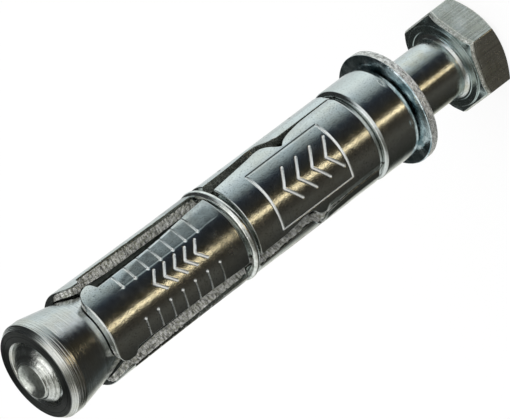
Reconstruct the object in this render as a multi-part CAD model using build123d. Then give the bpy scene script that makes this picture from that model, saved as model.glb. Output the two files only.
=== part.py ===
"""Shield anchor with a loose hexagon bolt: bolt, washer, ferrule, three segments, wire ring and cone nut.

Millimetres. The anchor stands on its bolt head: the origin is the middle of the head's outer face, and +Z runs
along the bolt towards the cone nut. The front of the anchor faces -Y.
"""

import os
from math import cos, radians, sin, tan

from build123d import *

# ---------------------------------------------------------------- clearances
gap = 0.3  # between pieces that move against each other
thread_fit = 0.06  # radial, between the bolt's thread and the nut's
ring_seat = 0.05  # radial, between the wire ring and the floor of its groove
shank_fit = 0.36  # radial, between the shank and the ferrule's end
head_play = 0.35  # radial, between a segment and the ferrule that holds it
overrun = 1.0  # how far cutting tools pass the surfaces that they cut

# ---------------------------------------------------------------- bolt
thread_d = 15.8
shank_d = 15.84
shank_r = shank_d / 2
bolt_length = 137.0  # from the bearing face to the tip
thread_length = 50.0
head_height = 10.0
head_flats = 24.0
head_face_diameter = 22.8  # circle of the outer face inside the 30 degree chamfer
head_back_d = 25.4  # the same on the bearing side
chamfer_angle = 30.0
washer_face_d = 22.4
washer_face_height = 0.6
head_fillet = 1.2
tip_flat_d = 10.4
tip_bevel = 0.4  # how far the first thread's crest is turned down
tip_height = 2.1
tip_crown = 0.35
tip_round = 0.4
thread_relief = 0.25  # the thread's crest starts this much below the shank

z_bearing = head_height
z_tip = z_bearing + bolt_length
z_thread = z_tip - thread_length

# ---------------------------------------------------------------- shield as a whole
shield_length = 115.0  # washer to the nut's outer face
nut_showing = 14.6  # the nut beyond the segments' ends
leaf_end = shield_length - nut_showing
fixture_length = 17.7  # room for what is fastened, between bolt head and washer
hole_d = 25.0  # hole that the shield goes into
front = -90.0  # polar angle of the middle of segment_1, degrees
segment_count = 3
pitch = 360.0 / segment_count

# ---------------------------------------------------------------- washer
washer_d = 29.8
washer_bore_d = 17.2
washer_thick = 2.3
washer_edge_radius = 0.35  # die roll of the punched edge
z_washer = z_bearing + fixture_length
z_washer_top = z_washer + washer_thick

# ---------------------------------------------------------------- ferrule
ferrule_r = 12.28
ferrule_wall = 1.05
ferrule_roll = 2.0  # outer radius of the rolled-in end
ferrule_length = 12.1
ferrule_bore_r = shank_r + shank_fit
lip_roll = 1.0  # outer radius of the curled lower lip
lip_bore_r = 10.8
lip_height = 1.3
z_ferrule = z_washer_top + gap
z_lip = z_ferrule + ferrule_length
z_lip_inside = z_lip - lip_height
z_nut_face = z_washer_top + shield_length
ferrule_inner_r = ferrule_r - ferrule_wall
lip_step = ferrule_inner_r - lip_bore_r  # the lip curls in at 45 degrees

# ---------------------------------------------------------------- segments
segment_r = 12.08  # outside of the upper half
belly_r = 12.05  # outside at the start of the lower half
flare_r = 12.38  # outside at the leaf end
inner_r = 9.05
head_r = ferrule_inner_r - head_play  # the part held in the ferrule
neck_r = lip_bore_r - head_play  # under the ferrule's lip
neck_shoulder = 1.9  # from the lip to the full outside
shoulder_slope = 0.9
shoulder_round = 0.4
z_segment = z_ferrule + ferrule_wall + gap
z_shoulder = z_lip + neck_shoulder
groove_place = 53.5  # percent of the way along the shield
groove_width = 4.2
groove_slope = 0.8
groove_inner_r = 8.6
groove_bend = 0.6
flare_place = 69.7  # where the outside starts to flare
taper_place = 85.7  # where the inside starts to open
knee_place = 94.0
knee_inner_r = 9.75
leaf_inner_r = 10.6
leaf_slope = 0.2  # fall of the leaf's end face from its inside to its outside
leaf_round = 0.45

# ---------------------------------------------------------------- wire ring
wire_d = 2.0
ring_r = 12.4  # outside of the ring
ring_tilt = 2.5
ring_split = 1.2  # opening between its ends, degrees each side
ring_split_at = 90.0 + 28.0
groove_floor_r = ring_r - wire_d - ring_seat

# ---------------------------------------------------------------- cone nut
nut_rim_r = 12.36
nut_rim_width = 2.7
nut_face_r = 11.3
nut_chamfer = 1.4
nut_length = 19.4
nut_small_r = 9.3
nut_bore_r = thread_d / 2 + thread_fit
countersink_d = 17.2
countersink_angle = 45.0

z_groove = z_washer_top + leaf_end * groove_place / 100
z_groove_end = z_groove + groove_width
z_leaf = z_washer_top + leaf_end
z_ring = z_groove + groove_width / 2
z_nut = z_nut_face - nut_length

# ---------------------------------------------------------------- segment outline
# Percent of the way from the washer to the segments' ends, then the left and right edge as angles from the
# segment's middle line, in degrees.
# The two edges step sideways together at the wave, so that neighbours interlock.
upper_edges = [
    (0.0, -57.0, 58.5),
    (12.0, -57.0, 58.5),
    (14.0, -58.0, 60.0),
    (20.0, -57.8, 60.0),
    (24.0, -57.0, 60.2),
    (27.0, -54.6, 60.4),
    (29.0, -52.4, 60.4),
    (31.0, -48.6, 60.4),
    (32.4, -43.4, 60.0),
    (33.2, -40.6, 59.2),
    (34.2, -44.0, 56.6),
    (35.2, -51.0, 52.0),
    (36.2, -56.4, 46.8),
    (37.3, -59.2, 44.4),
    (38.7, -59.3, 44.2),
    (41.0, -57.2, 46.2),
    (47.0, -53.4, 49.8),
    (55.5, -48.8, 50.4),
]
lower_edges = [
    (62.0, -46.4, 49.8),
    (68.0, -43.2, 48.6),
    (75.0, -39.6, 47.5),
    (81.0, -37.9, 46.6),
    (88.0, -37.3, 45.7),
    (93.8, -36.7, 46.6),
    (94.5, -46.0, 54.2),
    (95.3, -48.3, 56.6),
    (96.6, -46.6, 56.2),
    (98.1, -42.4, 52.8),
    (99.1, -37.0, 47.6),
    (99.7, -30.5, 41.0),
    (100.0, -22.0, 31.0),
]
bevel_width = 9.5  # degrees, of the flat along the edges of the upper half
bevel_angle = 15.0  # degrees that the flat leans away from the outside where it starts
bevel_end = 32.0  # where it runs out, above the wave, in percent as above

# ---------------------------------------------------------------- stamped marks
stamp_depth = 0.3
stamp_width = 0.55
frame_start, frame_end = 23.0, 46.1  # the rectangle on the upper half, in percent as above
frame_left, frame_right = -35.7, 41.0
tick_count = 7
tick_first, tick_pitch = 65.6, 4.0
tick_left = -18.5  # inner ends of the two rows of ticks
tick_right = 23.5
tick_outer_left, tick_outer_right = -46.0, 52.0


def polar(radius, angle):
    """Point in the XY plane at an angle in degrees."""
    return (radius * cos(radians(angle)), radius * sin(radians(angle)))


def station(percent):
    """Height of a place given as percent of the way from the washer to the segments' ends."""
    return z_washer_top + leaf_end * percent / 100


def turned(*profile):
    """Solid of revolution about Z. Each corner is (radius, height) or (radius, height, rounding)."""
    face = make_face(Polyline(*[(corner[0], 0, corner[1]) for corner in profile], close=True)).face()
    for corner in profile:
        if len(corner) == 3:
            at = Vector(corner[0], 0, corner[1])
            nearest = min(face.vertices(), key=lambda vertex: (Vector(*vertex) - at).length)
            face = face.fillet_2d(corner[2], [nearest])
    return revolve(face, Axis.Z, 360)


def make_bolt():
    corner_r = head_flats / 2 / cos(radians(30))
    beyond_r = corner_r + overrun
    slope = tan(radians(chamfer_angle))
    z_hex = z_bearing - washer_face_height
    prism = extrude(RegularPolygon(corner_r, 6, rotation=30), z_hex)
    bevels = turned(
        (0, 0),
        (head_face_diameter / 2, 0),
        (beyond_r, (beyond_r - head_face_diameter / 2) * slope),
        (beyond_r, z_hex - (beyond_r - head_back_d / 2) * slope),
        (head_back_d / 2, z_hex),
        (0, z_hex),
    )
    crest_r = thread_d / 2
    z_crest = z_tip - tip_height
    shaft = turned(
        (0, z_hex - overrun),
        (washer_face_d / 2, z_hex - overrun),
        (washer_face_d / 2, z_bearing),
        (shank_r, z_bearing, head_fillet),
        (shank_r, z_thread - thread_relief),
        (crest_r, z_thread),
        (crest_r, z_crest - tip_bevel),
        (crest_r - tip_bevel, z_crest, tip_round),
        (tip_flat_d / 2, z_tip - tip_crown, tip_round),
        (0, z_tip),
    )
    return (prism & bevels) + shaft


def make_washer():
    outer, bore = washer_d / 2, washer_bore_d / 2
    return turned(
        (bore, z_washer),
        (outer, z_washer),
        (outer, z_washer_top, washer_edge_radius),
        (bore, z_washer_top),
    )


def make_ferrule():
    return turned(
        (ferrule_bore_r, z_ferrule),
        (ferrule_r, z_ferrule, ferrule_roll),
        (ferrule_r, z_lip, lip_roll),
        (lip_bore_r, z_lip),
        (lip_bore_r, z_lip_inside),
        (ferrule_inner_r, z_lip_inside - lip_step),
        (ferrule_inner_r, z_ferrule + ferrule_wall, ferrule_roll - ferrule_wall),
        (ferrule_bore_r, z_ferrule + ferrule_wall),
    )


def make_shield_wall():
    """The wall that the three segments are pressed to, as one closed ring."""
    return turned(
        (inner_r, z_segment),
        (head_r, z_segment),
        (head_r, z_lip_inside - lip_step - gap),
        (neck_r, z_lip_inside - gap),
        (neck_r, z_shoulder - shoulder_slope, shoulder_slope / 2),
        (segment_r, z_shoulder, shoulder_round),
        (segment_r, z_groove, shoulder_round),
        (groove_floor_r, z_groove + shoulder_round),
        (groove_floor_r, z_groove_end - groove_slope),
        (belly_r, z_groove_end, shoulder_round),
        (belly_r, station(flare_place)),
        (flare_r, z_leaf - leaf_slope, leaf_round),
        (leaf_inner_r, z_leaf),
        (knee_inner_r, station(knee_place)),
        (inner_r, station(taper_place)),
        (inner_r, z_groove_end + groove_bend),
        (groove_inner_r, z_groove_end - groove_bend),
        (groove_inner_r, z_groove + groove_bend),
        (inner_r, z_groove - groove_bend),
    )


def edge_corners(edge, toward_middle, bevelled):
    """Two points of the outline at one edge: on a line to the bolt's axis, or along the flat of the bevel."""
    if not bevelled:
        return [polar(hole_d / 2, front - edge), polar(hole_d, front - edge)]
    spread = 45.0 - bevel_angle
    flat_distance = segment_r * cos(radians(bevel_angle))
    edge_r = flat_distance / cos(radians(bevel_width - bevel_angle))
    far_r = flat_distance / cos(radians(bevel_angle + spread))
    far = edge + toward_middle * (bevel_width + spread)
    return [polar(edge_r, front - edge), polar(far_r, front - far)]


def make_outline():
    """Prism that the shield wall is cut to, with the segment's two edges running towards the bolt's axis."""
    sections = []
    for place, left, right in upper_edges + lower_edges:
        bevelled = place < bevel_end
        corners = [(0, 0), *edge_corners(left, 1, bevelled), polar(hole_d, front - (left + right) / 2)]
        corners += reversed(edge_corners(right, -1, bevelled))
        sections.append(Wire.make_polygon([Vector(x, y, station(place)) for x, y in corners]))
    return Solid.make_loft(sections, ruled=True)


def cross_stamp(place, start, end):
    """Tool for a stamped line that runs round the segment, from one angle to another."""
    bottom = segment_r - stamp_depth
    tool = Pos(bottom + overrun / 2, 0, station(place)) * Rot(90, 0, 0) * Rectangle(overrun, stamp_width)
    return Rot(0, 0, front - end) * revolve(tool, Axis.Z, end - start)


def long_stamp(angle, start, end):
    """Tool for a stamped line that runs along the segment, from one place to another."""
    bottom = segment_r - stamp_depth
    length = station(end) - station(start) + stamp_width
    tool = Box(overrun, stamp_width, length, align=(Align.MIN, Align.CENTER, Align.CENTER))
    return Rot(0, 0, front - angle) * Pos(bottom, 0, station((start + end) / 2)) * tool


def make_stamps():
    tools = [
        cross_stamp(frame_start, frame_left, frame_right),
        cross_stamp(frame_end, frame_left, frame_right),
        long_stamp(frame_left, frame_start, frame_end),
        long_stamp(frame_right, frame_start, frame_end),
    ]
    for row in range(tick_count):
        place = tick_first + row * tick_pitch
        tools.append(cross_stamp(place, tick_outer_left, tick_left))
        tools.append(cross_stamp(place, tick_right, tick_outer_right))
    return tools


def make_segment():
    return (make_shield_wall() & make_outline()) - make_stamps()


def make_ring():
    arc = Torus(ring_r - wire_d / 2, wire_d / 2, major_angle=360 - 2 * ring_split)
    split = Rot(0, 0, ring_split_at + ring_split) * arc
    return Pos(0, 0, z_ring) * Rot(0, -ring_tilt, 0) * split


def make_nut():
    z_rim_end = z_nut_face - nut_chamfer
    sink = (countersink_d / 2 - nut_bore_r) / tan(radians(countersink_angle))
    return turned(
        (nut_bore_r, z_nut),
        (nut_small_r, z_nut),
        (nut_rim_r, z_rim_end - nut_rim_width),
        (nut_rim_r, z_rim_end),
        (nut_face_r, z_nut_face),
        (countersink_d / 2, z_nut_face),
        (nut_bore_r, z_nut_face - sink),
    )


segment = make_segment()
pieces = {
    "hex_bolt": make_bolt(),
    "washer": make_washer(),
    "ferrule": make_ferrule(),
    "ring_clip": make_ring(),
    "cone_nut": make_nut(),
}
for place in range(segment_count):
    pieces[f"segment_{place + 1}"] = Rot(0, 0, -place * pitch) * segment

os.makedirs("parts", exist_ok=True)
for name, shape in pieces.items():
    export_step(shape, f"parts/{name}.step")
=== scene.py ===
"""Looks of the shield anchor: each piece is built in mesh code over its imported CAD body, in metres on the row's
frame."""
import math

import bmesh
import bpy
import numpy as np
from mathutils import Matrix, Vector, noise


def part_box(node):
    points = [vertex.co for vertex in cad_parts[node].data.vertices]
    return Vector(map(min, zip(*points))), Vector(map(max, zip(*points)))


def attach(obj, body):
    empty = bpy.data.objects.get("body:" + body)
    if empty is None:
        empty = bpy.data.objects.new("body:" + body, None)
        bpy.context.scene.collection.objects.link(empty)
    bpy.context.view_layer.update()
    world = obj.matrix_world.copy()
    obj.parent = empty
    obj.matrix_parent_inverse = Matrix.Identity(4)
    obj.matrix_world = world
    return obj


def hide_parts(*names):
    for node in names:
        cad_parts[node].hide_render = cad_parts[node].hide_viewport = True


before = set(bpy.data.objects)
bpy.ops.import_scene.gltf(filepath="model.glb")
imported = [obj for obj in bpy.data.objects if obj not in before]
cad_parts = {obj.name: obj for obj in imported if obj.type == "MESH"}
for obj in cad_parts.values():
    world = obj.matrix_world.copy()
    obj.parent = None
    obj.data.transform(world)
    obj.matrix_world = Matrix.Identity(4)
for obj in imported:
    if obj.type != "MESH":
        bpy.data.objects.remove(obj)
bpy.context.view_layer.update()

MM = 0.001

# ---------------- places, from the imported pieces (millimetres)


def span(node, axis):
    """Lowest and highest coordinate of a CAD node along an axis."""
    low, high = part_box(node)
    return low[axis] / MM, high[axis] / MM


Z_BEARING = 10.0  # the head's bearing face
Z_WASHER, Z_WASHER_TOP = span("washer", 2)
Z_FERRULE, Z_LIP = span("ferrule", 2)
Z_LEAF = span("segment_1", 2)[1]
Z_NUT, Z_NUT_FACE = span("cone_nut", 2)
Z_TIP = span("hex_bolt", 2)[1]
WASHER_R = span("washer", 0)[1]
FERRULE_R = span("ferrule", 0)[1]
NUT_R = span("cone_nut", 0)[1]
SHIELD = Z_LEAF - Z_WASHER_TOP
SEGMENT_R = 12.08
SHANK_R = 7.92


def at(radius, angle, height):
    """Point at an angle from the front, which is -Y, turning towards -X. Millimetres and degrees."""
    a = np.radians(angle)
    return np.stack(np.broadcast_arrays(-radius * np.sin(a), -radius * np.cos(a), height), -1)


# ---------------- node helpers


def new_tree(name):
    """New material with an empty node tree."""
    material = bpy.data.materials.new(name)
    material.use_nodes = True
    tree = material.node_tree
    tree.nodes.clear()
    return material, tree


def node(tree, kind, settings=None, **inputs):
    """New node. Inputs are given by name, or by number as i0, i1 and so on, as values or as other nodes' outputs."""
    made = tree.nodes.new(kind)
    for key, value in (settings or {}).items():
        setattr(made, key, value)
    for key, value in inputs.items():
        socket = made.inputs[int(key[1:]) if key[0] == "i" and key[1:].isdigit() else key.replace("_", " ")]
        if hasattr(value, "is_output"):
            tree.links.new(value, socket)
        else:
            socket.default_value = value
    return made


def math_node(tree, operation, a, b=0.0, c=0.0):
    return node(tree, "ShaderNodeMath", {"operation": operation}, i0=a, i1=b, i2=c).outputs[0]


def ramp(tree, factor, stops):
    """Grey values or colours by a factor, with straight runs between the stops."""
    made = node(tree, "ShaderNodeValToRGB", {}, i0=factor)
    band = made.color_ramp
    while len(band.elements) < len(stops):
        band.elements.new(0.5)
    for element, (place, value) in zip(band.elements, stops):
        element.position = place
        element.color = (value, value, value, 1) if isinstance(value, (int, float)) else (*value, 1)
    return made.outputs[0]


def mix(tree, factor, a, b):
    made = node(tree, "ShaderNodeMix", {"data_type": "RGBA"})
    for place, value in ((0, factor), (6, a), (7, b)):
        socket = made.inputs[place]
        if hasattr(value, "is_output"):
            tree.links.new(value, socket)
        else:
            socket.default_value = value if place == 0 else (*value, 1)
    return made.outputs[2]


def multiply(tree, a, b):
    """Product of two colours."""
    kind = {"data_type": "RGBA", "blend_type": "MULTIPLY"}
    return node(tree, "ShaderNodeMix", kind, i0=1.0, i6=a, i7=b).outputs[2]


# ---------------- studio


def make_world():
    """White behind the object. Its reflections see a tent: a white table on the left, a dark one in front and on the
    right with one warm strip in it, white walls above on the right, dark ones on the left and behind, a white roof. The
    table's part near the object, seen steeply from above, changes from white to dark at other places."""
    world = bpy.data.worlds.new("studio")
    bpy.context.scene.world = world
    world.use_nodes = True
    tree = world.node_tree
    tree.nodes.clear()
    direction = node(tree, "ShaderNodeTexCoord").outputs["Generated"]
    axes = node(tree, "ShaderNodeSeparateXYZ", {}, i0=direction).outputs
    left, front = (math_node(tree, "MULTIPLY", axes[axis], -1.0) for axis in (0, 1))
    around = math_node(tree, "MULTIPLY_ADD", math_node(tree, "ARCTAN2", left, front), 0.5 / math.pi, 0.5)
    lift = math_node(tree, "MULTIPLY_ADD", axes[2], 0.5, 0.5)

    def by_turn(*stops):
        """Colours by degrees from the front, turning towards -X."""
        return ramp(tree, around, [(0.5 + degrees / 360, colour) for degrees, colour in stops])

    def by_lift(*stops):
        """Values by degrees above the horizon."""
        return ramp(tree, lift, [(0.5 + 0.5 * math.sin(math.radians(degrees)), value) for degrees, value in stops])

    table = by_turn(
        (-180, (0.86, 0.88, 0.86)), (-160, (0.72, 0.75, 0.75)), (-144, (0.66, 0.71, 0.71)), (-128, (0.74, 0.80, 0.80)),
        (-108, (0.85, 0.93, 0.93)), (-92, (0.90, 0.97, 0.96)), (-78, (0.68, 0.75, 0.77)), (-66, (0.49, 0.56, 0.58)),
        (-57, (0.37, 0.43, 0.44)), (-49, (0.24, 0.28, 0.29)), (-42, (0.085, 0.105, 0.115)),
        (-35, (0.030, 0.038, 0.050)), (-26, (0.022, 0.025, 0.030)), (-8, (0.026, 0.026, 0.023)),
        (3, (0.040, 0.033, 0.020)), (30, (0.040, 0.034, 0.026)), (42, (0.045, 0.040, 0.032)),
        (60, (0.078, 0.074, 0.062)), (84, (0.050, 0.048, 0.042)), (104, (0.038, 0.038, 0.033)),
        (124, (0.024, 0.026, 0.022)), (134, (0.060, 0.066, 0.060)), (145, (0.38, 0.39, 0.36)),
        (157, (0.63, 0.64, 0.58)), (167, (0.88, 0.88, 0.82)), (180, (0.86, 0.88, 0.86)),
    )
    nearer = by_turn(
        (-180, (0.88, 0.90, 0.88)), (-90, (0.98, 1.0, 1.0)), (-54, (0.98, 1.0, 1.0)), (-46, (0.66, 0.69, 0.70)),
        (-38, (0.08, 0.09, 0.10)), (-30, (0.022, 0.025, 0.030)), (3, (0.044, 0.038, 0.026)),
        (30, (0.036, 0.034, 0.028)), (84, (0.032, 0.034, 0.032)), (106, (0.045, 0.05, 0.05)),
        (124, (0.24, 0.28, 0.28)), (140, (0.86, 0.90, 0.88)), (180, (0.88, 0.90, 0.88)),
    )
    table = mix(tree, by_lift((-46, 1.0), (-38, 0.0)), table, nearer)
    strip = by_turn(
        (2, 0.0), (9.0, 0.03), (12.5, 0.08), (14.8, 0.95), (16.5, 1.0), (18.2, 0.95), (20.5, 0.08), (25, 0.03),
        (32, 0.0),
    )
    strip = math_node(
        tree, "MULTIPLY", strip, by_lift((-46, 0.0), (-41, 0.12), (-36, 1.0), (-18, 1.0), (-8, 0.0))
    )
    walls = by_turn(
        (-180, (0.028, 0.031, 0.029)), (-150, (0.026, 0.028, 0.028)), (-84, (0.026, 0.029, 0.030)),
        (-70, (0.10, 0.11, 0.11)), (-54, (0.50, 0.54, 0.55)), (-38, (0.92, 0.94, 0.95)), (-20, (1.0, 1.0, 1.0)),
        (12, (0.98, 0.98, 0.97)), (30, (0.50, 0.50, 0.48)), (50, (0.17, 0.17, 0.15)), (72, (0.15, 0.15, 0.13)),
        (84, (0.42, 0.42, 0.40)), (98, (0.68, 0.68, 0.65)), (120, (0.80, 0.82, 0.80)), (140, (0.92, 0.94, 0.93)),
        (151, (0.70, 0.73, 0.72)), (160, (0.12, 0.13, 0.13)), (168, (0.03, 0.033, 0.032)),
        (180, (0.028, 0.031, 0.029)),
    )
    warm, roof_white = (2.30, 1.90, 1.22), (1.5, 1.5, 1.48)
    above = by_lift((-15, 0.0), (-4, 1.0))
    roof = by_lift((62, 0.0), (69, 1.0))
    tent = mix(tree, above, mix(tree, strip, table, warm), walls)
    tent = mix(tree, roof, tent, roof_white)
    path = node(tree, "ShaderNodeLightPath")
    seen = mix(tree, path.outputs["Is Glossy Ray"], (1.0, 1.0, 1.0), tent)
    background = node(tree, "ShaderNodeBackground", {}, Color=seen, Strength=1.0)
    node(tree, "ShaderNodeOutputWorld", {}, Surface=background.outputs[0])


def make_floor():
    """White paper that keeps the object's shadow and goes over into the white behind it."""
    half, white_share = 3.0, 0.88
    mesh = bpy.data.meshes.new("floor")
    mesh.from_pydata([(-half, -half, 0), (half, -half, 0), (half, half, 0), (-half, half, 0)], [], [(0, 1, 2, 3)])
    floor = bpy.data.objects.new("floor", mesh)
    bpy.context.scene.collection.objects.link(floor)
    material, tree = new_tree("floor_paper")
    paper = node(tree, "ShaderNodeBsdfDiffuse", {}, Color=(0.93, 0.93, 0.93, 1)).outputs[0]
    white = node(tree, "ShaderNodeEmission", {}, Color=(1, 1, 1, 1), Strength=1.0).outputs[0]
    path = node(tree, "ShaderNodeLightPath")
    share = math_node(tree, "MULTIPLY", path.outputs["Is Camera Ray"], white_share)
    both = node(tree, "ShaderNodeMixShader", {}, i0=share, i1=paper, i2=white).outputs[0]
    node(tree, "ShaderNodeOutputMaterial", {}, Surface=both)
    mesh.materials.append(material)
    floor.visible_glossy = False


def make_lamp():
    """Softbox above and in front, for a soft shadow. The tent in the world takes its place in reflections."""
    data = bpy.data.lights.new("softbox", "AREA")
    data.shape, data.size = "DISK", 1.2
    data.energy = 6.0
    lamp = bpy.data.objects.new("softbox", data)
    bpy.context.scene.collection.objects.link(lamp)
    lamp.location = (0.7, -0.5, 1.6)
    lamp.rotation_mode = "QUATERNION"
    lamp.rotation_quaternion = (Vector((0, 0, 0.05)) - lamp.location).to_track_quat("-Z", "Y")
    lamp.visible_glossy = False


def make_camera():
    """Long lens. The bolt's axis leans towards the camera at the nut, and runs from upper right to lower left."""
    lean, slant = math.radians(29.6), math.radians(37.2)
    target = Vector((0, 0, Z_WASHER_TOP * MM))
    target_in_view = Vector((0.0303512881, -0.0232552693, 1.4192037471))  # right, down, forward
    along = Vector((-math.cos(lean) * math.cos(slant), math.cos(lean) * math.sin(slant), -math.sin(lean)))
    toward = Vector((0, 0, -1))
    front = (toward - along * toward.dot(along)).normalized()
    side = along.cross(front)
    if side.x < 0:
        side = -side
    # in camera axes (right, down, forward), world X is -side, world Y is -front and world Z is along
    turn = Matrix((-side, -front, along)).transposed()
    place = target - turn.transposed() @ target_in_view
    right, down, forward = turn.row[0], turn.row[1], turn.row[2]
    data = bpy.data.cameras.new("camera")
    data.sensor_width = 36.0
    data.lens = 427.764706
    data.clip_start, data.clip_end = 0.05, 20
    camera = bpy.data.objects.new("camera", data)
    bpy.context.scene.collection.objects.link(camera)
    camera.matrix_world = Matrix((
        (right[0], -down[0], -forward[0], place[0]),
        (right[1], -down[1], -forward[1], place[1]),
        (right[2], -down[2], -forward[2], place[2]),
        (0, 0, 0, 1),
    ))
    bpy.context.scene.camera = camera


# ---------------- materials


def millimetres(tree, stretch=(1.0, 1.0, 1.0)):
    """Place on the object in millimetres. A stretch under 1 makes a pattern long along that axis."""
    place = node(tree, "ShaderNodeTexCoord").outputs["Object"]
    return node(tree, "ShaderNodeMapping", {}, Vector=place, Scale=tuple(s / MM for s in stretch)).outputs[0]


def noise_of(tree, place, size, detail=2.0, roughness=0.5):
    """Noise with spots of a size in millimetres."""
    made = node(tree, "ShaderNodeTexNoise", {}, Vector=place, Scale=1 / size, Detail=detail, Roughness=roughness)
    return made.outputs["Fac"]


def turned_noise(tree, size):
    """Noise in rings about the bolt's axis, as a lathe leaves on ends and sides alike."""
    axes = node(tree, "ShaderNodeSeparateXYZ", {}, i0=millimetres(tree)).outputs
    x_squared, y_squared = (math_node(tree, "POWER", axes[axis], 2.0) for axis in (0, 1))
    radius = math_node(tree, "SQRT", math_node(tree, "ADD", x_squared, y_squared))
    along = math_node(tree, "MULTIPLY_ADD", axes[2], 2.3, radius)
    one_way = {"noise_dimensions": "1D"}
    made = node(tree, "ShaderNodeTexNoise", one_way, W=along, Scale=1 / size, Detail=3.0, Roughness=0.6)
    return made.outputs["Fac"]


# light bare steel for stamped marks, partly painted highlight
BARE_STEEL_AND_HIGHLIGHT = (0.92, 0.93, 0.90)
DULLED = (0.05, 0.055, 0.05)
STRETCHES = {"drawn": (1.0, 1.0, 0.02), "torn": (0.3, 0.3, 1.0)}  # of the noise that makes lines


def metal(
    name, tint, stain, rough, patch=5.0, grain=(0.33, 0.02), wave=(1.6, 0.05), lines=None, pits=0.75, marks=None,
    sheen=1.0, dulled=False, spun=0.0,
):
    """Plated or bare steel. tint and stain alternate in patches of a size; rough is the least and the most roughness;
    grain, wave and lines (which are drawn, torn or turned) are sizes and depths of relief in millimetres. pits is the
    brightness left in the finest hollows, and marks that in the lines' hollows: painted shade. sheen under 1 lets
    torn grains scatter light. dulled darkens by the mesh's own "dull" values, and bares bright steel, partly as
    painted highlight, where they are negative. spun draws reflections out across turning marks."""
    material, tree = new_tree(name)
    place = millimetres(tree)
    large = noise_of(tree, place, patch, 4.0, 0.6)
    middle = noise_of(tree, place, wave[0], 3.0)
    fine = noise_of(tree, place, grain[0], 2.0, 0.6)
    colour = mix(tree, ramp(tree, large, [(0.40, 0.0), (0.64, 1.0)]), tint, stain)
    # colour darkened in the fine relief's hollows: painted shade
    hollow = ramp(tree, fine, [(0.30, pits), (0.43, 1.0)])
    colour = multiply(tree, colour, hollow)
    blend = math_node(tree, "MULTIPLY_ADD", middle, 0.45, math_node(tree, "MULTIPLY", large, 0.55))
    least, most = rough
    roughness = ramp(tree, blend, [(0.36, least), (0.50, least * 0.6 + most * 0.4), (0.66, most)])
    height = math_node(tree, "MULTIPLY_ADD", fine, grain[1], math_node(tree, "MULTIPLY", middle, wave[1]))
    if lines:
        kind, size, deep = lines
        if kind == "turned":
            line = turned_noise(tree, size)
        else:
            line = noise_of(tree, millimetres(tree, STRETCHES[kind]), size, 3.0, 0.6)
        height = math_node(tree, "MULTIPLY_ADD", line, deep, height)
        if marks:
            # colour darkened in the lines' hollows: painted shade
            line_shade = ramp(tree, line, [(0.32, marks), (0.56, 1.0)])
            colour = multiply(tree, colour, line_shade)
    if dulled:
        value = node(tree, "ShaderNodeAttribute", {"attribute_name": "dull"}).outputs["Fac"]
        dull = math_node(tree, "MAXIMUM", value, 0.0)
        # negative values: bare steel, made light and less metallic, partly painted highlight
        bare = math_node(tree, "MULTIPLY", math_node(tree, "MINIMUM", value, 0.0), -1.0)
        colour = mix(tree, bare, colour, BARE_STEEL_AND_HIGHLIGHT)
        sheen = math_node(tree, "MULTIPLY_ADD", bare, -0.75, 1.0)
        uneven = math_node(tree, "MULTIPLY", dull, math_node(tree, "MULTIPLY_ADD", middle, 1.6, 0.2))
        colour = mix(tree, uneven, colour, DULLED)
        roughness = math_node(tree, "MULTIPLY_ADD", uneven, 0.15, roughness)
    normal = node(tree, "ShaderNodeBump", {}, Height=height, Distance=MM, Strength=1.0).outputs[0]
    looks = {"Base_Color": colour, "Metallic": sheen, "Roughness": roughness, "Normal": normal}
    shader = node(tree, "ShaderNodeBsdfPrincipled", {}, **looks)
    if spun:
        shader.inputs["Anisotropic"].default_value = spun
        tangent = node(tree, "ShaderNodeTangent", {"direction_type": "RADIAL", "axis": "Z"}).outputs[0]
        tree.links.new(tangent, shader.inputs["Tangent"])
    node(tree, "ShaderNodeOutputMaterial", {}, Surface=shader.outputs[0])
    return material


ZINC = (0.70, 0.745, 0.75)
DULL_ZINC = (0.66, 0.68, 0.65)


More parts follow.
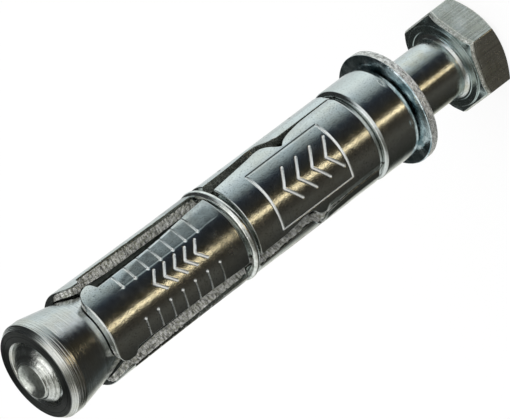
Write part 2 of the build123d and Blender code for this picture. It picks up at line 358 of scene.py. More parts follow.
def make_materials():
    """One finish for each kind of surface, by name."""
    return {
        "pressed": metal(
            "zinc_pressed", ZINC, DULL_ZINC, (0.08, 0.24), patch=6.0, grain=(0.32, 0.022), wave=(1.7, 0.04), pits=0.42,
            dulled=True,
        ),
        # the segments' inner face, darkened as painted shade of the space inside the shield
        "inside": metal(
            "steel_inside_painted_shade", (0.34, 0.36, 0.34), (0.22, 0.24, 0.22), (0.34, 0.48), patch=3.0, grain=(0.4, 0.03),
        ),
        # burnished steel of the sheared zone, its dark tint partly painted shade
        "sheared": metal(
            "steel_sheared_painted_shade", (0.34, 0.36, 0.34), (0.20, 0.22, 0.20), (0.14, 0.26), patch=2.0, grain=(0.3, 0.02),
            wave=(1.2, 0.05), lines=("torn", 0.42, 0.06), pits=0.7, marks=0.6,
        ),
        "torn": metal(
            "steel_torn", (1.0, 1.0, 0.97), (0.36, 0.37, 0.29), (0.16, 0.30), patch=0.7, grain=(0.30, 0.17),
            wave=(0.8, 0.22), lines=("torn", 0.5, 0.34), pits=0.16, marks=0.2, sheen=0.5,
        ),
        # the torn finish again, brighter and more diffuse: painted light for the walls along the left edges
        "torn_painted_light": metal(
            "steel_torn_painted_light", (1.0, 1.0, 0.98), (0.40, 0.41, 0.33), (0.18, 0.30), patch=0.7, grain=(0.30, 0.16),
            wave=(0.8, 0.2), lines=("torn", 0.5, 0.30), pits=0.22, marks=0.22, sheen=0.35,
        ),
        "rolled": metal(
            "zinc_rolled", ZINC, (0.68, 0.71, 0.69), (0.10, 0.22), patch=7.0, grain=(0.36, 0.014), wave=(2.4, 0.05),
            pits=0.7,
        ),
        "wire": metal(
            "zinc_wire", (0.92, 0.94, 0.92), (0.70, 0.73, 0.68), (0.16, 0.30), patch=2.0, grain=(0.3, 0.02),
            wave=(1.2, 0.04),
        ),
        "washer_face": metal(
            "zinc_washer_face", (0.28, 0.38, 0.41), (0.88, 0.97, 1.0), (0.12, 0.26), patch=3.2, grain=(0.35, 0.02),
            wave=(3.0, 0.28),
        ),
        "washer_rim": metal(
            "steel_washer_rim", (1.0, 1.0, 0.98), (0.72, 0.73, 0.68), (0.18, 0.32), patch=0.9, grain=(0.28, 0.16),
            wave=(0.8, 0.2), lines=("torn", 0.40, 0.2), pits=0.16, marks=0.35, sheen=0.72,
        ),
        "flat": metal(
            "zinc_flat", (0.86, 0.86, 0.81), (0.66, 0.66, 0.58), (0.20, 0.34), grain=(0.34, 0.02), wave=(1.6, 0.03),
            lines=("drawn", 0.35, 0.05), pits=0.7, marks=0.7,
        ),
        "worn": metal(
            "steel_worn", (0.86, 0.87, 0.82), (0.36, 0.38, 0.33), (0.20, 0.36), patch=0.8, grain=(0.24, 0.09),
            wave=(0.8, 0.12), pits=0.3, sheen=0.92,
        ),
        "forged": metal(
            "zinc_forged", (0.50, 0.58, 0.57), (0.34, 0.39, 0.37), (0.16, 0.30), patch=3.0, grain=(0.34, 0.02),
            wave=(1.8, 0.07),
        ),
        "drawn": metal(
            "zinc_drawn", ZINC, (0.66, 0.66, 0.58), (0.11, 0.26), grain=(0.34, 0.02), wave=(1.6, 0.03),
            lines=("drawn", 0.5, 0.02), pits=0.6,
        ),
        # zinc darkened as painted shade, for threads that sit inside the shield and the nut
        "thread": metal(
            "zinc_thread_painted_shade", (0.50, 0.53, 0.52), (0.40, 0.42, 0.40), (0.18, 0.30), patch=3.0, grain=(0.3, 0.02),
            wave=(1.5, 0.04), lines=("turned", 0.4, 0.02),
        ),
        "point": metal(
            "steel_point", (0.80, 0.82, 0.79), (0.52, 0.54, 0.50), (0.14, 0.24), patch=1.6, grain=(0.28, 0.04),
            wave=(1.1, 0.10), lines=("turned", 0.36, 0.02), pits=0.4, marks=0.6,
        ),
        "cropped": metal(
            "steel_cropped", (0.74, 0.77, 0.72), (0.52, 0.54, 0.50), (0.26, 0.36), patch=1.2, grain=(0.28, 0.05),
            wave=(0.9, 0.10), pits=0.45,
        ),
        "turned": metal(
            "zinc_turned", ZINC, (0.68, 0.70, 0.66), (0.06, 0.15), grain=(0.34, 0.010), wave=(2.0, 0.02),
            lines=("turned", 0.4, 0.022), pits=0.6, marks=0.6,
        ),
        "faced": metal(
            "zinc_faced", (0.28, 0.29, 0.285), (0.20, 0.21, 0.20), (0.28, 0.36), patch=4.0, grain=(0.3, 0.006),
            wave=(1.5, 0.01), lines=("turned", 0.26, 0.014), pits=0.7, marks=0.3, spun=0.8,
        ),
        "rim": metal(
            "zinc_rim", (0.78, 0.80, 0.78), (0.74, 0.74, 0.68), (0.12, 0.22), patch=4.0, grain=(0.34, 0.015),
            wave=(1.5, 0.03), lines=("turned", 0.30, 0.02), pits=0.7, marks=0.6,
        ),
    }


# ---------------- mesh helpers


class Solid:
    """Collects grids of points, in millimetres, and turns them into one welded mesh with several materials."""

    def __init__(self):
        self.points, self.quads, self.kinds, self.count = [], [], [], 0

    def grid(self, points, wrap=False, kind=0):
        """Rows by columns of points. With wrap, the last column joins the first."""
        rows, columns = points.shape[:2]
        index = self.count + np.arange(rows * columns).reshape(rows, columns)
        after = np.roll(index, -1, 1) if wrap else index[:, 1:]
        here = index if wrap else index[:, :-1]
        quads = np.stack((here[:-1], after[:-1], after[1:], here[1:]), -1).reshape(-1, 4)
        self.points.append(points.reshape(-1, 3))
        self.quads.append(quads)
        self.kinds.append(np.full(len(quads), kind) if np.isscalar(kind) else np.asarray(kind).reshape(-1))
        self.count += rows * columns

    def piece(self, name, materials, body, slot, replaced, paint=None):
        """The object: rides on a body and stands in for a CAD node. slot is not used. paint(points) gives "dull"
        values.
        """
        mesh = bpy.data.meshes.new(name)
        points = np.concatenate(self.points) * MM
        quads = np.concatenate(self.quads)
        mesh.from_pydata(points.tolist(), [], quads.tolist())
        mesh.polygons.foreach_set("material_index", np.concatenate(self.kinds).astype(np.int32))
        build = bmesh.new()
        build.from_mesh(mesh)
        bmesh.ops.remove_doubles(build, verts=build.verts, dist=0.002 * MM)
        bmesh.ops.dissolve_degenerate(build, edges=build.edges, dist=0.001 * MM)
        bmesh.ops.recalc_face_normals(build, faces=build.faces)
        build.to_mesh(mesh)
        build.free()
        mesh.shade_smooth()
        if paint:
            places = np.empty(len(mesh.vertices) * 3)
            mesh.vertices.foreach_get("co", places)
            dull = mesh.attributes.new("dull", "FLOAT", "POINT")
            dull.data.foreach_set("value", paint(places.reshape(-1, 3) / MM))
        obj = bpy.data.objects.new(name, mesh)
        bpy.context.scene.collection.objects.link(obj)
        for material in materials:
            mesh.materials.append(material)
        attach(obj, body)
        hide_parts(replaced)


def rounded(*corners, support=0.08, steps=5):
    """Polyline (radius, height) with its corners rounded. A corner is (radius, height) or (radius, height, rounding).
    A point close to each end of a straight run keeps the shading of the run flat."""
    out = []
    for i, corner in enumerate(corners):
        p = np.array(corner[:2], float)
        if i in (0, len(corners) - 1) or len(corner) < 3:
            out.append(p)
            continue
        a, b = np.array(corners[i - 1][:2], float), np.array(corners[i + 1][:2], float)
        u, v = (a - p) / np.linalg.norm(a - p), (b - p) / np.linalg.norm(b - p)
        half = math.acos(max(-1.0, min(1.0, float(u @ v)))) / 2
        reach = corner[2] / math.tan(half)
        centre = p + (u + v) / np.linalg.norm(u + v) * corner[2] / math.sin(half)
        start, end = p + u * reach - centre, p + v * reach - centre
        angle = math.acos(max(-1.0, min(1.0, float(start @ end) / corner[2] ** 2)))
        for k in range(steps + 1):
            t = k / steps
            out.append(centre + (math.sin((1 - t) * angle) * start + math.sin(t * angle) * end) / math.sin(angle))
    dense = []
    for a, b in zip(out, out[1:]):
        dense.append(a)
        run = np.linalg.norm(b - a)
        if run > 4 * support:
            dense += [a + (b - a) * support / run, b - (b - a) * support / run]
    dense.append(out[-1])
    return np.array(dense)


def lathe(profile, turns, shape=None):
    """Points of a turned surface: rows follow the profile, columns go round. shape(radius, height, angle) shifts
    them."""
    around = np.arange(turns) * 360.0 / turns
    radius, angles = np.meshgrid(profile[:, 0], around, indexing="ij")
    height = np.repeat(profile[:, 1:2], turns, 1)
    if shape:
        radius, height = shape(radius, height, angles)
    return at(radius, angles, height)


def divide(a, b, step):
    """Evenly spaced values from a to b, with spacing no larger than step."""
    return np.linspace(a, b, max(2, int(math.ceil(abs(b - a) / step)) + 1))


def cut_runs(profile, step):
    """The profile with its runs cut up. step(start, end) gives how far apart the rows between two points may be."""
    rows = []
    for a, b in zip(profile, profile[1:]):
        count = max(1, int(np.linalg.norm(b - a) / step(a, b)))
        rows += [a + (b - a) * k / count for k in range(count)]
    return np.array(rows + [profile[-1]])


def bumps(points, scale, seed=0.0):
    """Smooth noise, -1 to 1, at points in millimetres; scale is the size of a bump."""
    flat = points.reshape(-1, 3) / scale + seed
    values = [noise.noise(Vector(p)) for p in flat]
    return np.array(values).reshape(points.shape[:-1])


def smooth_curve(places, values):
    """Curve through points that never overshoots them, as a function of place."""
    x, y = np.array(places, float), np.array(values, float)
    step, rise = np.diff(x), np.diff(y) / np.diff(x)
    slope = np.zeros(len(x))
    for i in range(1, len(x) - 1):
        if rise[i - 1] * rise[i] > 0:
            wa, wb = 2 * step[i] + step[i - 1], step[i] + 2 * step[i - 1]
            slope[i] = (wa + wb) / (wa / rise[i - 1] + wb / rise[i])
    slope[0], slope[-1] = rise[0], rise[-1]

    def value(at_place):
        q = np.clip(at_place, x[0], x[-1])
        k = np.clip(np.searchsorted(x, q) - 1, 0, len(step) - 1)
        t = (q - x[k]) / step[k]
        return ((2 * t**3 - 3 * t**2 + 1) * y[k] + (t**3 - 2 * t**2 + t) * step[k] * slope[k]
                + (-2 * t**3 + 3 * t**2) * y[k + 1] + (t**3 - t**2) * step[k] * slope[k + 1])

    return value


def ease(value, start, end):
    """0 up to start, 1 from end on, smooth between them."""
    t = np.clip((value - start) / (end - start), 0, 1)
    return t * t * (3 - 2 * t)


# ---------------- segments

# percent of the way from the washer to the segments' ends; left and right edge in degrees from the middle line
EDGES = [
    (1.6, -57.0, 58.5), (12.0, -57.0, 58.5), (14.0, -58.0, 60.0), (20.0, -57.8, 60.0), (24.0, -57.0, 60.2),
    (27.0, -54.6, 60.4), (29.0, -52.4, 60.4), (31.0, -48.6, 60.4), (32.4, -43.4, 60.0), (33.2, -40.6, 59.2),
    (34.2, -44.0, 56.6), (35.2, -51.0, 52.0), (36.2, -56.4, 46.8), (37.3, -59.2, 44.4), (38.7, -59.3, 44.2),
    (41.0, -57.2, 46.2), (47.0, -53.4, 49.8), (55.5, -48.8, 50.4), (62.0, -46.4, 49.8), (68.0, -43.2, 48.6),
    (75.0, -39.6, 47.5), (81.0, -37.9, 46.6), (88.0, -37.3, 45.7), (93.8, -36.7, 46.6), (94.5, -46.0, 54.2),
    (95.3, -48.3, 56.6), (96.6, -46.6, 56.2), (98.1, -42.4, 52.8), (99.1, -37.0, 47.6), (99.7, -30.5, 41.0),
    (100.0, -22.0, 31.0),
]
PLACES, LEFTS, RIGHTS = zip(*EDGES)
LEFT_EDGE, RIGHT_EDGE = smooth_curve(PLACES, LEFTS), smooth_curve(PLACES, RIGHTS)

PERCENT = SHIELD / 100
FRAME = (23.0, 46.1, -35.7, 41.0)  # stamped rectangle: two places in percent, two angles
TICKS = [65.6 + 4.0 * row for row in range(7)]  # in percent
TICK_LEFT, TICK_RIGHT = -18.5, 23.5  # inner ends of the ticks, in degrees
BEVEL = 15.0  # degrees that the flat along the upper edges leans away from the outside
BEVEL_WIDTH, BEVEL_END = 9.5, 31.5  # degrees, and the place in percent where the flat runs out
CORNER_WIDTH = 3.4  # degrees of the strip that holds a rolled corner


def line_dip(off, along, start, end, depth, half):
    """Depth of a stamped line at a distance off it; half its width. The line fades out just past its ends."""
    across = np.clip(1 - (off / half) ** 2, 0, 1) ** 1.5
    run = ease(along, start - 0.25, start + 0.1) * (1 - ease(along, end - 0.1, end + 0.25))
    return depth * across * run


WALL_OUT = rounded(
    (10.88, 1.65), (10.88, 10.37), (10.45, 10.8), (10.45, 12.1), (11.2, 12.75), (SEGMENT_R, 14.2, 0.5),
    (SEGMENT_R, 53.95, 0.15), (10.35, 54.25), (10.35, 57.11), (12.05, 57.91, 0.4), (12.05, 70.0),
    (12.38, SHIELD - 0.2, 0.45), (10.6, SHIELD),
)
WALL_IN = np.array([
    (9.05, 1.65), (9.05, 53.1), (8.6, 54.3), (8.6, 57.3), (9.05, 58.5), (9.05, 86.0), (9.75, 94.4), (10.6, SHIELD),
])


def arc(angle):
    """Millimetres round the segments' outside."""
    return np.radians(angle) * SEGMENT_R


def chevrons(places, middle, half_angle, reach):
    """Strokes of a row of plain chevrons, as (start place, start angle, end place, end angle); reach in millimetres."""
    return [(place, middle, place - reach, middle + side * half_angle) for place in places for side in (-1, 1)]


STROKES = (
    chevrons((27.6, 32.2, 36.8, 41.4), 2.0, 21.0, 3.2) + chevrons((70.2, 73.5, 76.8, 80.1, 83.4), -1.0, 12.5, 2.2)
)


def stamped_depth(s, angle):
    """How deep the stamped marks are at places s, in millimetres along the shield, and angles."""
    across = arc(angle)
    start, end, left, right = FRAME[0] * PERCENT, FRAME[1] * PERCENT, arc(FRAME[2]), arc(FRAME[3])
    depth = np.zeros_like(s)

    def strike(*line):
        np.maximum(depth, line_dip(*line), out=depth)

    for place in (start, end):
        strike(s - place, across, left, right, 0.22, 0.34)
    for place in (left, right):
        strike(across - place, s, start, end, 0.16, 0.32)
    inner_left, inner_right, reach = arc(TICK_LEFT), arc(TICK_RIGHT), 20.0
    for tick in TICKS:
        off = s - tick * PERCENT
        strike(off, across, -reach, inner_left, 0.12, 0.30)
        strike(off, across, inner_right, reach, 0.08, 0.27)
        for corner in (inner_left, inner_right):
            dot = 0.2 * np.clip(1.2 - np.hypot(off, across - corner) / 0.4, 0, 1)
            np.maximum(depth, dot, out=depth)
    strike(across - inner_left, s, TICKS[0] * PERCENT - 2, TICKS[-1] * PERCENT + 1, 0.03, 0.2)
    for s0, a0, s1, a1 in STROKES:
        b0, b1 = arc(a0), arc(a1)
        length = math.hypot(s1 - s0, b1 - b0)
        us, ub = (s1 - s0) / length, (b1 - b0) / length
        along = (s - s0) * us + (across - b0) * ub
        off = (across - b0) * us - (s - s0) * ub
        strike(off, along, 0, length, 0.26, 0.35)
    return depth


# left border of the left scale's flattened panel: places in millimetres, angles
PANEL = ((57.0, 60.0, 70.0, 76.0, 82.0, 84.0, 88.0, 90.5), (-42.5, -42.0, -39.3, -37.0, -34.6, -33.0, -27.0, -22.0))


def panel(s, angle):
    """Where the die of the left scale flattened the surface, 0 to 1, and how far that moves it."""
    start = np.interp(s, *PANEL)
    there = ease(angle, start - 0.8, start + 0.8) * (1 - ease(angle, TICK_LEFT - 0.9, TICK_LEFT + 0.1))
    there = there * ease(s, 58.6, 60.5) * (1 - ease(s, 88.5, 90.5))
    flat = 11.92 / np.cos(np.radians(np.clip(angle, -45, -15) + 24.5)) - SEGMENT_R
    return there, 0.5 * flat * there


def edge_zone(percent):
    """Width in degrees of the strip along an edge: the flat on the upper half, and a rolled corner elsewhere."""
    on = ease(percent, 12.0, 13.5) * (1 - ease(percent, BEVEL_END - 0.8, BEVEL_END + 1.4))
    return CORNER_WIDTH + (BEVEL_WIDTH - CORNER_WIDTH) * on, on


def edge_drop(inset, percent):
    """How far the outside lies below the round, at degrees in from an edge: a flat, then a rolled corner."""
    width, on = edge_zone(percent)
    from_crease = np.clip(width - inset, 0, None)
    flat = 1 - math.cos(math.radians(BEVEL)) / np.cos(np.radians(np.clip(from_crease, 0, BEVEL) - BEVEL))
    corner = 0.10 * np.clip(1 - inset / 1.1, 0, 1) ** 2
    return on * SEGMENT_R * flat + corner


def segment_rows():
    """Places of the rows: close together where marks, the groove and the rounded end are."""
    beside = np.array([-0.4, -0.28, -0.16, -0.05, 0.05, 0.16, 0.28, 0.4])
    closest = 0.045
    rows = [WALL_OUT[:, 1], divide(14.6, SHIELD - 1.4, 0.4), divide(1.65, 14.0, 1.5)]
    rows += [percent * PERCENT + beside for percent in (*FRAME[:2], *TICKS)]
    rows += [divide(24.5, 42.0, 0.22), divide(66.5, 83.0, 0.22), divide(93.0, SHIELD - 0.1, 0.16)]
    rows = np.unique(np.round(np.concatenate(rows), 3))
    keep = [rows[0]]
    for value in rows[1:]:
        if value - keep[-1] > closest:
            keep.append(value)
    keep[-1] = rows[-1]
    return np.array(keep)


def segment_columns(s):
    """Angles of the columns in each row. The middle ones stand still past the stamped marks; the outer ones follow the
    edges."""
    beside = np.array([-1.8, -1.3, -0.8, -0.3, 0.3, 0.8, 1.3, 1.8])
    inside = 80
    upper = ([-38.2], FRAME[2] + beside, np.linspace(-33, 38.4, inside), FRAME[3] + beside, [43.3])
    lower = ([-20.6], TICK_LEFT + beside, np.linspace(-16, 21, inside), TICK_RIGHT + beside, [26.0])
    blend = ease(s, 50.0, 60.0)[:, None]
    middle = (1 - blend) * np.concatenate(upper) + blend * np.concatenate(lower)
    percent = (s / SHIELD * 100)[:, None]
    left, right = LEFT_EDGE(percent), RIGHT_EDGE(percent)
    strip = np.array([0.0, 0.02, 0.06, 0.13, 0.25, 0.4, 0.55, 0.7, 0.85, 0.95, 0.99, 1.01, 1.05, 1.15])
    plain = np.array([0.15, 0.32, 0.5, 0.7, 0.88])
    sides = []
    for edge, limit in ((left, middle[:, :1]), (right, middle[:, -1:])):
        room = np.abs(limit - edge)
        width = np.minimum(edge_zone(percent)[0], room * 0.8)
        inset = np.concatenate((width * strip, width * 1.15 + (room - width * 1.15) * plain), 1)
        sides.append(edge + np.sign(limit - edge) * inset)
    return np.concatenate((sides[0], middle, sides[1][:, ::-1]), 1), left, right


def striations(points, along, deep):
    """Torn texture of a sheared face: ridges that run through the wall, uneven along it."""
    stretched = points * np.array([0.4, 0.4, 1.0])
    return bumps(stretched, 0.5, 9.0) * deep + bumps(stretched, 1.2, 5.0) * deep + bumps(points, 3.0, 2.0) * along


def make_segment_mesh():
    """One segment in the front place. Kinds: 0 outside, 1 sheared (partly painted shade), 2 torn, 3 inside (painted
    shade), 4 torn with painted light.
    """
    s = segment_rows()
    angle, left, right = segment_columns(s)
    place = np.repeat(s[:, None], angle.shape[1], 1)
    percent = place / SHIELD * 100
    base = np.interp(place, WALL_OUT[:, 1], WALL_OUT[:, 0])
    inside = np.interp(place, WALL_IN[:, 1], WALL_IN[:, 0])
    radius = base - stamped_depth(place, angle)
    held = ease(place, 13.2, 14.2)
    radius -= (edge_drop(angle - left, percent) + edge_drop(right - angle, percent)) * held
    smooth = at(radius, angle, Z_WASHER_TOP + place)
    radius += 0.012 * bumps(smooth, 4.0, 3.1) * ease(place, 15, 17) + panel(place, angle)[1]
    outer = at(radius, angle, Z_WASHER_TOP + place)
    inner = at(inside, angle, Z_WASHER_TOP + place)
    solid = Solid()
    columns = np.arange(angle.shape[1])
    kept = np.unique(np.append(columns[::6], columns[-1]))
    nearest = kept[np.abs(columns[:, None] - kept).argmin(1)]
    solid.grid(outer, kind=0)
    solid.grid(inner[:, kept], kind=3)
    for row in (0, -1):
        solid.grid(np.stack((outer[row], inner[row, nearest])), kind=0)
    share = np.array([0, 0.03, 0.09, 0.16, 0.25, 0.35, 0.45, 0.56, 0.68, 0.8, 0.9, 0.97, 1.0])[None, :, None]
    # the share of each wall's thickness with the dark sheared finish; the rest tore
    sheared_left = np.interp(s, [53.0, 57.0, 60.0, 76.0, 84.0], [0.16, 0.34, 0.34, 0.30, 0.2])
    # 1.2 gives the right walls up to the groove wholly to the dark sheared finish: painted shade
    sheared_and_shade_right = np.interp(s, [53.0, 57.0, 60.0, 76.0, 84.0], [1.2, 0.34, 0.34, 0.30, 0.2])
    # the walls along the left edges tear into the brighter copy of the torn finish, which is painted light
    for column, way, sheared, rest in ((0, 1.0, sheared_left, 4), (-1, -1.0, sheared_and_shade_right, 2)):
        wall = outer[:, None, column] * (1 - share) + inner[:, None, column] * share
        torn = ease(share[..., 0], 0.22, 0.42) * (1 - ease(share[..., 0], 0.93, 1.0))
        rough = striations(wall, 0.06, 0.10) * torn * way
        radial = np.hypot(wall[..., 0], wall[..., 1])
        turned = np.arctan2(-wall[..., 0], -wall[..., 1]) + rough / radial
        near = 0.07 * bumps(np.stack((s, 0 * s, 0 * s + 4 * way), 1), 0.8)
        ragged = near + 0.05 * bumps(np.stack((s, 0 * s, 0 * s), 1), 4.0)
        limit = (sheared + ragged)[1:, None]
        kind = np.where(share[0, 1:, 0][None, :] > limit, rest, 1)
        solid.grid(at(radial, np.degrees(turned), wall[..., 2]), kind=kind)
    return solid


def dullness(points):
    """How dull the first segment's plating is: under the ring, and on the flattened scale. Negative in stamped marks,
    where the steel is bare and bright, with brightness growing towards the right as a painted highlight."""
    s, angle = points[:, 2] - Z_WASHER_TOP, np.degrees(np.arctan2(-points[:, 0], -points[:, 1]))
    struck_and_highlight = stamped_depth(s, angle) * (np.hypot(points[:, 0], points[:, 1]) > 11.3) * (s > 15)
    # stamped marks brighter towards the right: painted highlight on the bare steel
    struck_and_highlight = np.clip(struck_and_highlight / 0.2, 0, 1) ** 1.5 * np.interp(angle, [-34, -20, 20], [0.15, 0.75, 0.9])
    worn = 0.34 * ease(s, 56.5, 58.5) * (1 - ease(s, 64.0, 67.5))
    scale = panel(s, angle)[0] * np.interp(angle, [-40, -31, -22], [0.5, 0.42, 0.25])
    scale = scale * np.interp(s, [60, 66, 76, 79, 85, 88], [0.6, 0.9, 0.9, 1.25, 1.25, 0.8])
    return np.maximum(worn, scale) * (1 - struck_and_highlight) - struck_and_highlight


def make_segments(materials):
    """materials: outside, sheared (partly painted shade), torn, inside (painted shade), torn with painted light."""
    solid = make_segment_mesh()
    shapes = [points.copy() for points in solid.points]
    for place in range(3):
        turn = math.radians(-120.0 * place)
        spin = np.array([[math.cos(turn), math.sin(turn), 0], [-math.sin(turn), math.cos(turn), 0], [0, 0, 1]])
        solid.points = [points @ spin for points in shapes]
        name = f"segment_{place + 1}"
        paint = lambda points, back=spin.T: dullness(points @ back)
        solid.piece(f"{name}.pressed", materials, name, "segment_zinc", name, paint=paint)


# ---------------- ferrule, ring and washer


def make_ferrule(material):
    """Drawn cup with three small dents near its closed end."""
    bore_r, mouth_r, z_floor, z_mouth = 8.28, 11.23, 31.35, 41.1
    profile = rounded(
        (bore_r, z_floor), (bore_r, Z_FERRULE, 0.2), (FERRULE_R, Z_FERRULE, 2.0), (FERRULE_R, Z_LIP, 1.0),
        (10.8, Z_LIP, 0.2), (10.8, z_mouth), (mouth_r, z_mouth - 0.43), (mouth_r, z_floor, 0.9), (bore_r, z_floor),
        steps=8,
    )
    dents = ((-27.0, 5.0), (30.0, 4.0), (140.0, 5.0))  # angle and width
    dent_z = Z_FERRULE + 2.4

    def dented(radius, height, angle):
        outside = (radius > 11.5) & (height > Z_FERRULE + 1.0)
        turn = (angle + 180) % 360 - 180
        for middle, width in dents:
            near = np.exp(-((turn - middle) / width) ** 2) * np.exp(-((height - dent_z) / 0.35) ** 2)
            radius = radius - 0.16 * near * outside
        return radius, height

    outside = np.where(profile[:, 0] > FERRULE_R - 1e-6)[0]
    side = np.stack((np.full(60, FERRULE_R), np.linspace(Z_FERRULE + 2.04, Z_LIP - 1.04, 60)), 1)
    rows = np.concatenate((profile[: outside[0] + 1], side, profile[outside[-1]:]))
    solid = Solid()
    solid.grid(lathe(rows, 360, dented), wrap=True)
    solid.piece("ferrule.rolled", [material], "ferrule", "ferrule_zinc", "ferrule")


def make_ring(material):
    """Wire ring, split behind on the +X side, and slightly tilted."""
    wire, middle = 1.0, 11.4
    low, high = span("ring_clip", 2)
    centre = (low + high) / 2
    open_at, opening = 208.0, 1.2
    around = np.linspace(open_at + opening, open_at + 360 - opening, 241)
    section = np.arange(20) * 18.0
    a, c = np.meshgrid(around, section, indexing="ij")
    points = at(middle + wire * np.cos(np.radians(c)), a, wire * np.sin(np.radians(c)))
    ends = []
    for k in (0, -1):
        core = points[k].mean(0)
        ends.append(np.stack([core + (points[k] - core) * share for share in (0.0, 0.5, 0.92)]))
    tilt = math.radians(-2.5)
    lean = np.array([[math.cos(tilt), 0, -math.sin(tilt)], [0, 1, 0], [math.sin(tilt), 0, math.cos(tilt)]])
    solid = Solid()
    points = np.concatenate((ends[0], points, ends[1][::-1]))
    solid.grid(points @ lean + np.array([0, 0, centre]), wrap=True)
    solid.piece("ring_clip.wire", [material], "ferrule", "ring_zinc", "ring_clip")


def make_washer(face, rim):
    """Punched washer: faces a little wavy, edge torn but for its die roll."""
    bore_r, fine, coarse = 8.6, 0.22, 1.2
    profile = rounded(
        (bore_r, Z_WASHER + 0.15), (8.75, Z_WASHER), (WASHER_R, Z_WASHER, 0.12), (WASHER_R, Z_WASHER_TOP, 0.4),
        (bore_r, Z_WASHER_TOP, 0.25), (bore_r, Z_WASHER + 0.15),
    )
    rows = cut_runs(profile, lambda a, b: fine if min(a[0], b[0]) > WASHER_R - 0.5 else coarse)

    def worn(radius, height, angle):
        points = at(radius, angle, height)
        rough = 0.5 * bumps(points, 0.8, 2.0) + 0.5 * bumps(points, 2.5, 7.0)
        below_roll = 1 - ease(height, Z_WASHER_TOP - 0.5, Z_WASHER_TOP - 0.25)
        on_rim = ease(radius, WASHER_R - 0.25, WASHER_R - 0.02) * below_roll
        radius = radius - 0.05 * on_rim * (1 + rough)
        wave = bumps(points, 6.0, 1.0) * 0.02 - 0.02
        height = height + wave * ((height > Z_WASHER_TOP - 0.3) & (radius > 8.8))
        return radius, height

    points = lathe(rows, 360, worn)
    radial = np.hypot(points[..., 0], points[..., 1])
    mean = (radial[:-1] + radial[1:]) / 2
    middle = (points[:-1, :, 2] + points[1:, :, 2]) / 2
    kind = ((mean > WASHER_R - 0.2) & (middle < Z_WASHER_TOP - 0.3)).astype(int)
    solid = Solid()
    solid.grid(points, wrap=True, kind=kind)
    solid.piece("washer.punched", [face, rim], "washer", "washer_zinc", "washer")


# ---------------- bolt and nut

PITCH = 2.0
CREST_R = 7.9
THREAD_LENGTH = 50.0
Z_SHANK = 30.0  # where the head's rows end and the shank's begin
POINT_ROWS = 34  # rows of the point outside its rim
DISH_R = 4.02


def thread_radius(height, angle, crest, depth, flat):
    """Radius of a right-hand thread's surface at a height and an angle from the front, turning towards -X."""
    turn = (height + angle / 360 * PITCH) / PITCH  # angle runs clockwise seen from the tip
    off = np.abs(turn - np.round(turn)) * PITCH
    return crest - np.clip((off - flat / 2) * math.sqrt(3), 0, depth)


def hexagon(radius_flat, rounding, count_flat, count_corner):
    """Angles and radii of a hexagon with rounded corners. A corner faces the front."""
    sixth = math.radians(30)
    corner = radius_flat / math.cos(sixth)
    centre = corner - rounding / math.cos(sixth)
    cut = math.degrees(math.atan2(rounding * math.tan(sixth), radius_flat))
    half = 30.0 - cut
    angles, radii = [], []
    for side in range(6):
        start = side * 60.0
        for t in np.linspace(-half, half, count_flat):
            angles.append(start + 30.0 + t)
            radii.append(radius_flat / math.cos(math.radians(t)))
        for k in range(1, count_corner):
            t = -cut + 2 * cut * k / count_corner
            off = centre * math.sin(math.radians(t))
            reach = centre * math.cos(math.radians(t)) + math.sqrt(max(0.0, rounding**2 - off**2))
            angles.append(start + 60.0 + t)
            radii.append(min(reach, corner))
    return np.array(angles), np.array(radii)


def make_head(solid):
    """Forged hexagon with a chamfered outer face, a rolled edge on the bearing side and a turned collar. Gives the
    angles of its columns, for the shank to go on with."""
    flat_r, z_hex, collar_r = 12.0, 9.4, 11.1
    angles, radii = hexagon(flat_r, 0.35, 25, 7)
    slope = math.tan(math.radians(30))
    face_r, back_r = 11.4, 12.7  # where the chamfers start on the outer face, and on the edges of the bearing side
    band, band_rows, worn_rows, roll = 1.5, 19, 8, 0.42
    rows = []

    def ring(radius, height):
        rows.append(at(radius, angles, height))

    ring(np.full_like(radii, 0.02), 0.0)
    for share in (0.5, 0.97, 1.0):
        ring(np.full_like(radii, face_r * share), 0.0)
    for share in (0.1, 0.5, 0.9, 1.0):
        radius = face_r + (radii - face_r) * share
        ring(radius, (radius - face_r) * slope)
    low = (radii - face_r) * slope
    high = z_hex - np.clip(radii - back_r, 0, None) * slope
    for share in (0.02, 0.1, 0.3, 0.5, 0.7):
        ring(radii, low + (high - band - low) * share)
    for share in np.linspace(0, 1, band_rows):
        drop = roll * ease(np.array(share), 0.3, 1.0) ** 1.6
        for groove in (0.12, 0.5):
            drop = drop + 0.05 * math.exp(-(((share - groove) / 0.06) ** 2))
        height = high - band * (1 - share)
        points = at(radii, angles, height)
        wave = bumps(points, 0.9, 4.0) * 0.05 + bumps(points, 3.0, 2.0) * 0.06
        ring(radii - drop + wave * share**2 * 0.8, height)
    kind = np.zeros((len(rows) - 1, len(angles)), int)
    kind[-worn_rows:] = 1
    solid.grid(np.stack(rows), wrap=True, kind=kind)
    under = [rows[-1]]
    for share in (0.15, 0.5, 0.9):
        radius = (radii - roll) * (1 - share) + 11.25 * share
        under.append(at(radius, angles, high * (1 - share) + z_hex * share))
    collar = rounded(
        (11.25, z_hex, 0.05), (collar_r, z_hex + 0.12, 0.1), (collar_r, Z_BEARING, 0.18), (9.6, Z_BEARING, 0.1),
        (9.4, Z_BEARING - 0.12, 0.1), (9.2, Z_BEARING, 0.1), (SHANK_R, Z_BEARING, 1.2), (SHANK_R, 15.0),
        (SHANK_R, 26.0), (SHANK_R, Z_SHANK), support=0.06,
    )
    for radius, height in collar:
        under.append(at(np.full_like(radii, radius), angles, height))
    under = np.stack(under)
    kind = np.full((len(under) - 1, len(angles)), 2)
    kind[under[1:, 0, 2] > Z_BEARING + 0.05] = 3
    solid.grid(under, wrap=True, kind=kind)
    return angles


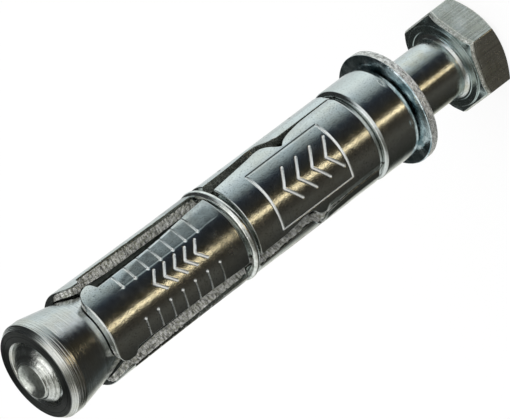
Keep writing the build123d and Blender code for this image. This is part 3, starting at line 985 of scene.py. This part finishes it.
def make_point(angles, z_start):
    """Turned point of the bolt, cropped a little off centre, so that its end is a shallow dish inside a rounded rim."""
    # rows as (share of the way off centre, radius, height)
    outside = [
        (0.0, 7.55, z_start), (0.0, 7.42, Z_TIP - 2.25), (0.5, 6.35, Z_TIP - 1.42), (0.5, 6.28, Z_TIP - 1.42),
        (1.0, 5.22, Z_TIP - 0.56), (1.0, 4.90, Z_TIP - 0.54), (1.0, 4.82, Z_TIP - 0.26),
    ]
    rim = [
        (1.0, 4.72, Z_TIP - 0.12), (1.0, 4.55, Z_TIP - 0.03), (1.0, 4.38, Z_TIP), (1.0, 4.20, Z_TIP - 0.04),
        (1.0, DISH_R, Z_TIP - 0.14),
    ]
    dish = [
        (1.0, DISH_R * share, Z_TIP - 0.14 - 0.95 * (1 - share**2))
        for share in (0.9, 0.78, 0.64, 0.5, 0.35, 0.2, 0.1, 0.005)
    ]
    corners = np.array(outside)
    along = np.concatenate(([0], np.cumsum(np.hypot(*np.diff(corners[:, 1:], axis=0).T))))
    even = np.linspace(0, along[-1], POINT_ROWS)
    rows = np.stack([np.interp(even, along, corners[:, k]) for k in range(3)], 1)
    middle = ease(even, 0.2, 0.5) * (1 - ease(even, along[-1] - 0.9, along[-1] - 0.5))
    tooling = bumps(np.stack((even, 0 * even, 0 * even), 1), 0.42, 3.0) * middle
    rows[:, 1] += 0.012 * tooling
    rows = np.concatenate((rows, rim, dish))
    share, radius, height = (rows[:, k][:, None] for k in range(3))
    turn = np.radians(angles)[None, :]
    wide = 1 - 0.02 * share + 0.04 * share * np.cos(turn) ** 2
    inward = np.clip(1 - radius / DISH_R, 0, 1)
    across = radius * wide * np.sin(turn) + 0.55 * share + 1.1 * inward
    front = radius * wide * np.cos(turn) - 1.2 * inward
    points = np.stack((-across, -front, np.broadcast_to(height, across.shape)), -1)
    uneven = bumps(points, 1.3, 6.0) * 0.05 * (share * ease(height, Z_TIP - 0.75, Z_TIP - 0.1)) - 0.03 * share
    points[..., 2] += uneven * (radius < 5)
    return points


def make_bolt(materials):
    """materials: flats, rough edge band, underside and collar, shank, thread, point, cropped end."""
    solid = Solid()
    angles = make_head(solid)
    z_thread, z_chamfer, core_r, chamfer_r = Z_TIP - THREAD_LENGTH, Z_TIP - 2.35, 7.0, 7.55
    shank = rounded(
        (SHANK_R, Z_SHANK), (SHANK_R, 60.0), (SHANK_R, z_thread - 0.3, 0.2), (7.6, z_thread + 0.2, 0.2),
        (core_r, z_thread + 1.0),
    )
    solid.grid(np.stack([at(np.full_like(angles, r), angles, z) for r, z in shank]), wrap=True, kind=3)
    height, turn = np.meshgrid(np.arange(z_thread + 1.0, z_chamfer - 0.01, PITCH / 12), angles, indexing="ij")
    radius = thread_radius(height, turn, CREST_R, 1.08, 0.25)
    threads = at(np.minimum(radius, chamfer_r + np.clip(z_chamfer - height, 0, 9)), turn, height)
    crown = make_point(angles, z_chamfer)
    start = at(np.full_like(angles, core_r), angles, z_thread + 1.0)[None]
    solid.grid(np.concatenate((start, threads, crown[:1])), wrap=True, kind=4)
    kind = np.full((len(crown) - 1, len(angles)), 5)
    kind[POINT_ROWS:] = 6
    solid.grid(crown, wrap=True, kind=kind)
    solid.piece("hex_bolt.forged", materials, "bolt", "bolt_zinc", "hex_bolt")


def make_nut(materials):
    """materials: cone, turned rim, internal thread, faced end. The rim and the end carry turned grooves."""
    z_rim, z_mouth, columns, fine, coarse = 140.9, 143.45, 260, 0.065, 1.2
    outside = rounded(
        (6.95, Z_NUT), (9.3, Z_NUT, 0.4), (NUT_R, z_rim, 0.5), (NUT_R, 143.55, 0.25), (11.35, Z_NUT_FACE, 0.2),
        (8.6, Z_NUT_FACE, 0.12), (7.05, z_mouth), support=0.1,
    )
    rows = cut_runs(outside, lambda a, b: fine if a[1] > z_rim - 0.1 else coarse)
    radius, height = rows[:, 0].copy(), rows[:, 1].copy()
    on_chamfer = ease(height, 143.65, 143.8) * ease(radius, 11.4, 11.5)
    rows[:, 0] -= 0.02 * on_chamfer * (1 + np.sin(height * 2 * math.pi / 0.34))
    for place, deep in ((143.28, 0.05), (142.92, 0.035), (142.35, 0.045), (141.6, 0.025)):
        rows[:, 0] -= deep * np.exp(-((height - place) / 0.09) ** 2) * (radius > 12)
    faced = ease(radius, 7.2, 7.4) * (1 - ease(radius, 8.4, 8.5)) * (height > 140)
    rows[:, 1] -= 0.06 * faced * (1 + np.cos((radius - 7.9) * 2 * math.pi / 0.62))
    points = lathe(rows, columns)
    kind = (rows[1:, 1] > z_rim).astype(int) + 2 * ((rows[1:, 1] > Z_NUT_FACE - 0.15) & (rows[1:, 0] > 8.5))
    solid = Solid()
    solid.grid(points, wrap=True, kind=np.repeat(kind[:, None], columns, 1))
    around = np.arange(columns) * 360.0 / columns
    height, turn = np.meshgrid(divide(Z_NUT, z_mouth, PITCH / 10), around, indexing="ij")
    thread = at(thread_radius(height, turn, CREST_R + 0.12, 1.05, 0.3), turn, height)
    thread[0], thread[-1] = points[0], points[-1]
    solid.grid(thread, wrap=True, kind=2)
    solid.piece("cone_nut.turned", materials, "nut", "nut_zinc", "cone_nut")


bpy.context.scene.view_settings.view_transform = "Standard"
make_world()
make_floor()
make_lamp()
make_camera()
finish = make_materials()
make_segments([finish[name] for name in ("pressed", "sheared", "torn", "inside", "torn_painted_light")])
make_ferrule(finish["rolled"])
make_ring(finish["wire"])
make_washer(finish["washer_face"], finish["washer_rim"])
make_bolt([finish[name] for name in ("flat", "worn", "forged", "drawn", "thread", "point", "cropped")])
make_nut([finish[name] for name in ("turned", "rim", "thread", "faced")])
